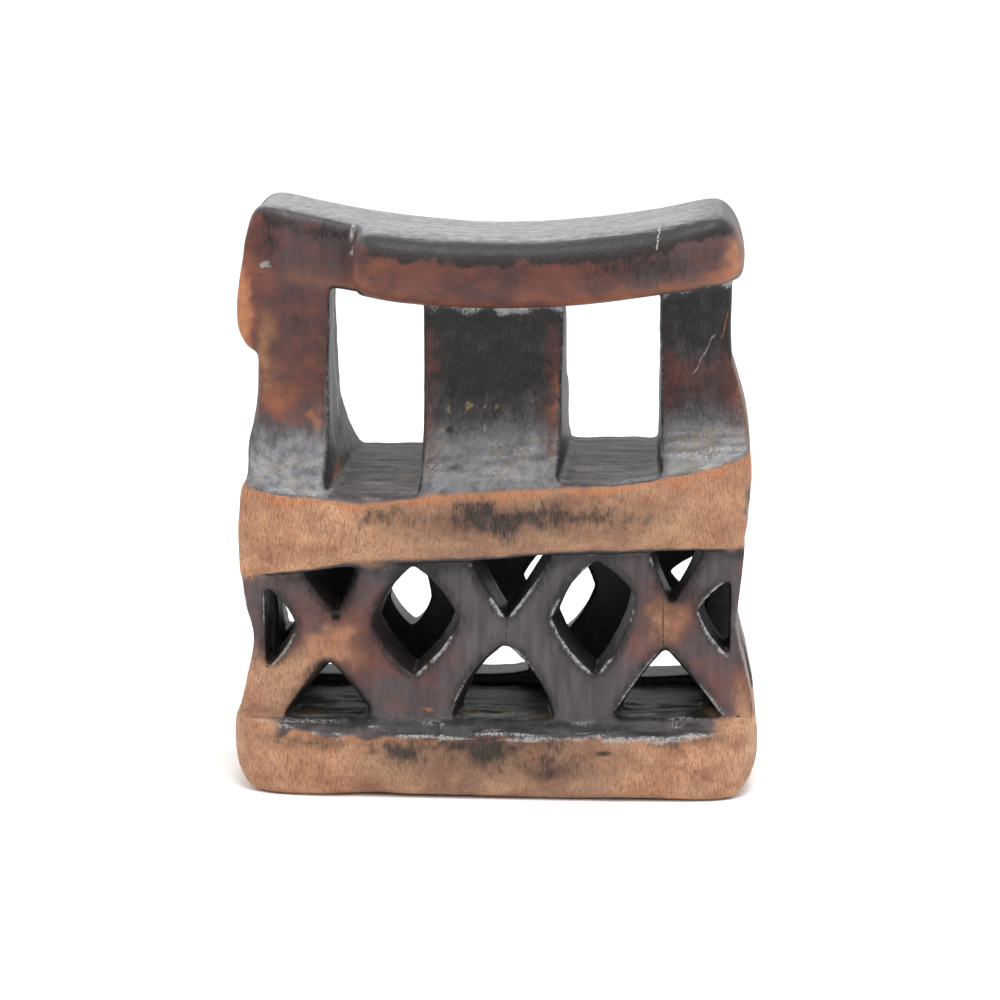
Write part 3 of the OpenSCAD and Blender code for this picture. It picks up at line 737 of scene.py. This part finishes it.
# %% Ochre dirt
ochre = storey_floor * 0.55 * fade(noise(ragged, 7.0, 41), -0.2, 0.6)
ochre *= fade(y, 10, -10) * fade(y, -25, -21)
ochre += window_floor * 0.4 * fade(noise(ragged, 4.0, 42), 0.0, 0.6) * fade(y, 0, -8)
ochre += in_struts * 0.5 * in_corner * fade(noise(points, 4.0, 43), 0, 0.5)
ochre += on_centre * ahead * fade(noise(points, 1.6, 44), 0.62, 0.8) * fade(abs(rz - 99), 9, 4)
paint["ochre"] = ochre
paint = {name: np.clip(mask, 0, 1) for name, mask in paint.items()}
print("paint layers:", ", ".join(paint))

# %% [markdown]
# ## Cut the block back into its zones
#
# Each zone becomes its own piece again, because the model's users ask for the zones by
# name. The skin is split along the lines between territories. Each piece is then an open
# shell, and its rims are closed with lids, which lie against each other inside the block.
# A rim that passes several neighbours bends at each of them, and a lid over a bent rim
# would poke out of the block. So a rim is first parted where the neighbour changes, and
# each part gets a nearly flat lid of its own.

# %% The rims of a piece
all_starts = squares.ravel().astype(np.int64)
all_ends = np.roll(squares, -1, axis=1).ravel().astype(np.int64)
all_edges = all_starts * count + all_ends
edge_order = np.argsort(all_edges)
sorted_edges = all_edges[edge_order]


def zone_across(start, end):
    """The zone of the square on the other side of an edge."""
    spot = edge_order[np.searchsorted(sorted_edges, int(end) * count + int(start))]
    return int(zone_of_square[spot // 4])


def rims_of(faces):
    """The open edges of a shell, chained into loops of (point, zone across the edge)."""
    starts = faces.ravel()
    ends = np.roll(faces, -1, axis=1).ravel()
    pair = starts.astype(np.int64) * count + ends
    twin = ends.astype(np.int64) * count + starts
    order = np.argsort(pair)
    spot = np.searchsorted(pair[order], twin).clip(0, len(pair) - 1)
    twin_edge = np.where(pair[order][spot] == twin, order[spot], -1)
    open_edges = np.flatnonzero(twin_edge < 0)
    left = set(open_edges.tolist())
    loops = []
    while left:
        first = edge = min(left)
        loop = []
        while True:
            left.discard(edge)
            loop.append((int(starts[edge]), zone_across(starts[edge], ends[edge])))
            # The next open edge is found by turning about this edge's end
            edge = edge // 4 * 4 + (edge + 1) % 4
            while twin_edge[edge] >= 0:
                edge = twin_edge[edge]
                edge = edge // 4 * 4 + (edge + 1) % 4
            if edge == first:
                break
        loops.append(loop)
    return loops


band_squares = squares[zone_of_square == node_names.index("middle_band")]
print("points in the rims of the band:", [len(loop) for loop in rims_of(band_squares)])

# %% [markdown]
# ## Lids
#
# Filling a rim with one big face would fail, because rims are not quite flat and some
# have a hole. Cutting it into triangles copes with both. Two long rims close together are
# the outside and the inside of one ring, such as the storey's four walls seen from above.

# %% Lids
wall_reach = 18      # mm; a part of a rim that spans less than this cuts through one wall
long_rim = 200       # points; only rims longer than this are looked at as a ring


def flat_rims(loop):
    """Splits a rim where the zone across it changes, so that each part is nearly flat."""
    changes = [i for i in range(len(loop)) if loop[i][1] != loop[i - 1][1]]
    if not changes:
        return [[v for v, _ in loop]]
    loop = loop[changes[0]:] + loop[:changes[0]]
    changes = [i - changes[0] for i in changes] + [len(loop)]
    only_two_parts = len(changes) == 3
    flats = []
    left_over = []
    for start, end in zip(changes, changes[1:]):
        run = [loop[i % len(loop)][0] for i in range(start, end + 1)]
        chord = np.linalg.norm(points[run[0]] - points[run[-1]])
        upright_cut = node_names[loop[start][1]] in crosses + uprights and chord < wall_reach
        if upright_cut or only_two_parts:
            flats.append(run)
            left_over.append(run[0])
        else:
            left_over += run[:-1]
    return flats + [left_over]


def lids_for(rims):
    """Triangles that close flat rims; a long rim close to another long one is its hole."""
    middles = [points[rim].mean(0) for rim in rims]
    done = set()
    lids = []
    for i, rim in enumerate(rims):
        if i in done or len(rim) < 3:
            continue
        ring = [i]
        for j in range(i + 1, len(rims)):
            both_long = min(len(rim), len(rims[j])) > long_rim
            if both_long and np.linalg.norm(middles[i] - middles[j]) < wall_reach:
                ring.append(j)
        done.update(ring)
        outlines = [rims[j][::-1] for j in ring]
        corners = [v for outline in outlines for v in outline]
        for triangle in tessellate_polygon([[Vector(points[v]) for v in line] for line in outlines]):
            lids.append([corners[corner] for corner in triangle])
    return lids


def lids_of(faces):
    """The triangles that close one shell."""
    return lids_for([flat for loop in rims_of(faces) for flat in flat_rims(loop)])


print("triangles that close the band:", len(lids_of(band_squares)))

# %% [markdown]
# ## The pieces
#
# Each piece keeps only the points that it uses, and takes its paint along as attributes.
# The whole skin's own facing is kept on it too, or light would show a crease along every
# cut.

# %% Cut the block
def cut_piece(name, number):
    """The squares of one zone, closed with lids, as a mesh with its paint."""
    faces = squares[zone_of_square == number]
    lids = lids_of(faces)
    all_corners = np.concatenate([faces.ravel(), np.ravel(lids)]).astype(int)
    used, packed = np.unique(all_corners, return_inverse=True)
    sides = packed[:faces.size].reshape(-1, 4).tolist()
    lid_faces = packed[faces.size:].reshape(-1, 3).tolist()
    mesh = bpy.data.meshes.new(name)
    mesh.from_pydata((points[used] * MM).tolist(), [], sides + lid_faces)
    mesh.shade_smooth()
    for layer, mask in paint.items():
        painted = mesh.attributes.new(layer, "FLOAT", "POINT")
        painted.data.foreach_set("value", mask[used].astype(np.float32))
    mesh.normals_split_custom_set_from_vertices(facing[used].tolist())
    return mesh


pieces = {}
for number, name in enumerate(node_names):
    mesh = cut_piece("worn_" + name, number)
    piece = bpy.data.objects.new("worn_" + name, mesh)
    bpy.context.scene.collection.objects.link(piece)
    pieces[name] = piece
    print(name, "faces:", len(mesh.polygons))

# %% [markdown]
# ## The finish
#
# All the wood is one wood, so one recipe makes every finish. It starts from smoke-stained
# grey wood and lays the paint layers over it: red, tan, a painted grey reflection, soot
# mixed with painted shade, ochre and dust. Noise breaks up each layer's edge. The pores of
# the wood run up and down as short dark flecks, and show most where the wood is bare. The
# bar's top has long pale scratches instead.

# %% The finish
def light_of(red, green, blue):
    """A colour from 0 to 255 as a screen shows it, as amounts of light."""
    amounts = [v / 255 for v in (red, green, blue)]
    return (*[v / 12.92 if v < 0.04045 else ((v + 0.055) / 1.055) ** 2.4 for v in amounts], 1)


def old_wood(name, lines=(), scratches=0.0):
    """Smoke-stained wood under its paint layers.

    A line is a crack or a scratch: its lower end, its upper end, its strength and colour.
    """
    material = bpy.data.materials.new(name)
    material.use_nodes = True
    shader = material.node_tree.nodes["Principled BSDF"]
    tree = Wire(material.node_tree)
    metres = tree.node("ShaderNodeTexCoord", {}, {}, "Object")

    def mottle(width, detail=3.0):
        """Noise from 0 to 1; width is its size in mm along x, y and z."""
        stretch = tuple(1000 / side for side in width)
        settings = {"operation": "MULTIPLY"}
        place = tree.node("ShaderNodeVectorMath", settings, {0: metres, 1: stretch})
        sockets = {"Vector": place, "Scale": 1.0, "Detail": detail, "Roughness": 0.6}
        return tree.node("ShaderNodeTexNoise", {}, sockets).fade(0.25, 0.75)

    def layer(mask, rough, depth=0.35):
        """A paint layer, its edge broken up by noise."""
        painted = tree.node("ShaderNodeAttribute", {"attribute_name": mask}, {}, "Fac")
        return (painted + (rough - 0.5) * depth * painted.fade(0.0, 0.4)).fade(0.0, 1.0)

    clouds = mottle((9.0, 9.0, 7.0), 4.0)
    patches = mottle((2.6, 2.6, 3.4))
    specks = mottle((0.8, 0.8, 1.0))
    pores = mottle((0.42, 0.42, 2.6), 2.0)
    streaks = mottle((2.0, 2.0, 14.0), 4.0)
    tan = layer("tan", patches)
    polish_and_painted_reflection = layer("polish_and_painted_reflection", streaks)
    red_wood = clouds.blend(light_of(66, 37, 36), light_of(112, 64, 52))
    tan_wood = clouds.blend(light_of(160, 108, 76), light_of(218, 168, 128))
    tan_wood = (patches * 0.4).blend(tan_wood, light_of(142, 106, 84))
    # A grey for the sheen layer: a painted reflection of the light tent
    painted_reflection_grey = patches.blend(light_of(82, 83, 87), light_of(142, 142, 146))
    colour = streaks.blend(light_of(58, 53, 56), light_of(84, 78, 81))
    colour = layer("red", clouds).blend(colour, red_wood)
    colour = tan.blend(colour, tan_wood)
    colour = (layer("orange", clouds) * 0.65).blend(colour, light_of(186, 116, 74))
    # Polished places take the painted reflection
    colour = (polish_and_painted_reflection * 0.8).blend(colour, painted_reflection_grey)
    grain = patches * 0.4 + pores * 0.35 + clouds * 0.25
    # Black for soot, which also serves as painted shade in hollows, corners and undersides
    colour = (layer("soot_and_painted_shade", grain, 1.1) * 0.94).blend(colour, light_of(21, 20, 22))
    colour = (layer("ochre", specks, 0.8) * 0.6).blend(colour, light_of(142, 124, 88))
    colour = (layer("dust", specks, 0.9) * 0.75).blend(colour, light_of(176, 176, 176))
    flecks = mottle((0.34, 0.34, 1.5), 2.0)
    colour = (flecks.fade(0.6, 0.2) * (0.1 + 0.32 * tan)).blend(colour, light_of(84, 70, 64))
    colour = (pores.fade(0.4, 0.15) * (0.08 + 0.22 * tan)).blend(colour, light_of(62, 44, 36))
    x_mm, y_mm, z_mm = (
        1000 * tree.node("ShaderNodeSeparateXYZ", {}, {0: metres}, axis) for axis in "XYZ"
    )
    for (x0, z0), (x1, z1), strength, shade in lines:
        along = z_mm - z0
        away = abs(x_mm - x0 - along * ((x1 - x0) / (z1 - z0)) + (streaks - 0.5) * 0.8)
        length = z_mm.fade(z0 - 0.5, z0 + 0.5) * z_mm.fade(z1 + 0.5, z1 - 0.5) * y_mm.fade(-5, -9)
        line = away.fade(0.26, 0.08) * length * specks.fade(0.1, 0.4) * strength
        colour = line.blend(colour, shade)
    roughness = 0.56 - 0.16 * polish_and_painted_reflection + 0.16 * (specks - 0.5) + 0.14 * tan
    height = specks * 0.5 + pores * (0.2 + 0.4 * tan) + patches * 0.8
    if scratches:
        fine_lines = mottle((70.0, 0.7, 0.7), 1.0)
        long_bands = mottle((90.0, 3.5, 3.5), 2.0)
        line_mask = fine_lines.fade(0.35, 0.95) * long_bands * polish_and_painted_reflection * scratches
        colour = line_mask.blend(colour, light_of(185, 185, 188))
        height = height + fine_lines * 0.3 * polish_and_painted_reflection
    sockets = {"Strength": 0.6, "Distance": 0.2 * MM, "Height": height}
    bump = tree.node("ShaderNodeBump", {}, sockets)
    links = material.node_tree.links
    links.new(colour.socket, shader.inputs["Base Color"])
    links.new(roughness.socket, shader.inputs["Roughness"])
    links.new(bump.socket, shader.inputs["Normal"])
    links.new((0.12 + polish_and_painted_reflection * 0.15).socket, shader.inputs["Coat Weight"])
    shader.inputs["Coat Roughness"].default_value = 0.3
    shader.inputs["Specular IOR Level"].default_value = 0.3
    return material


black = light_of(18, 16, 16)
pale = light_of(196, 186, 176)
copper = light_of(168, 112, 84)
bar_crack = [((42, 146), (42.6, 151), 0.6, pale), ((42.4, 134), (42, 146), 0.35, black)]
post_scratches = [((52, 112), (57, 122), 0.4, pale), ((59, 121), (60.5, 128), 0.5, copper)]
crossing_cracks = [((3.7, 39.5), (3.7, 49), 0.85, black), ((44.8, 40), (44.6, 53.6), 0.85, black)]
finishes = {
    "handled_tan_wood": old_wood("handled_tan_wood"),
    "polished_dark_wood": old_wood("polished_dark_wood", bar_crack, scratches=0.5),
    "red_brown_wood": old_wood("red_brown_wood", post_scratches),
    "smoked_wood": old_wood("smoked_wood"),
    "smoked_strut_wood": old_wood("smoked_strut_wood", crossing_cracks),
}
finish_of = {"base_plinth": "handled_tan_wood", "middle_band": "handled_tan_wood"}
finish_of |= {"head_bar": "polished_dark_wood", "centre_post": "smoked_wood"}
finish_of |= {name: "red_brown_wood" for name in ("left_post", "right_post", "left_lug")}
finish_of |= {name: "smoked_strut_wood" for name in crosses + uprights}
print("finishes:", ", ".join(finishes))

# %% [markdown]
# ## Hand over
#
# Every piece takes the place of the imported zone that it was cut from, and rides on the one
# body of the headrest.

# %% Hand over
for name, piece in pieces.items():
    piece.data.materials.append(finishes[finish_of[name]])
    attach(piece, "root")
    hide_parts(name)
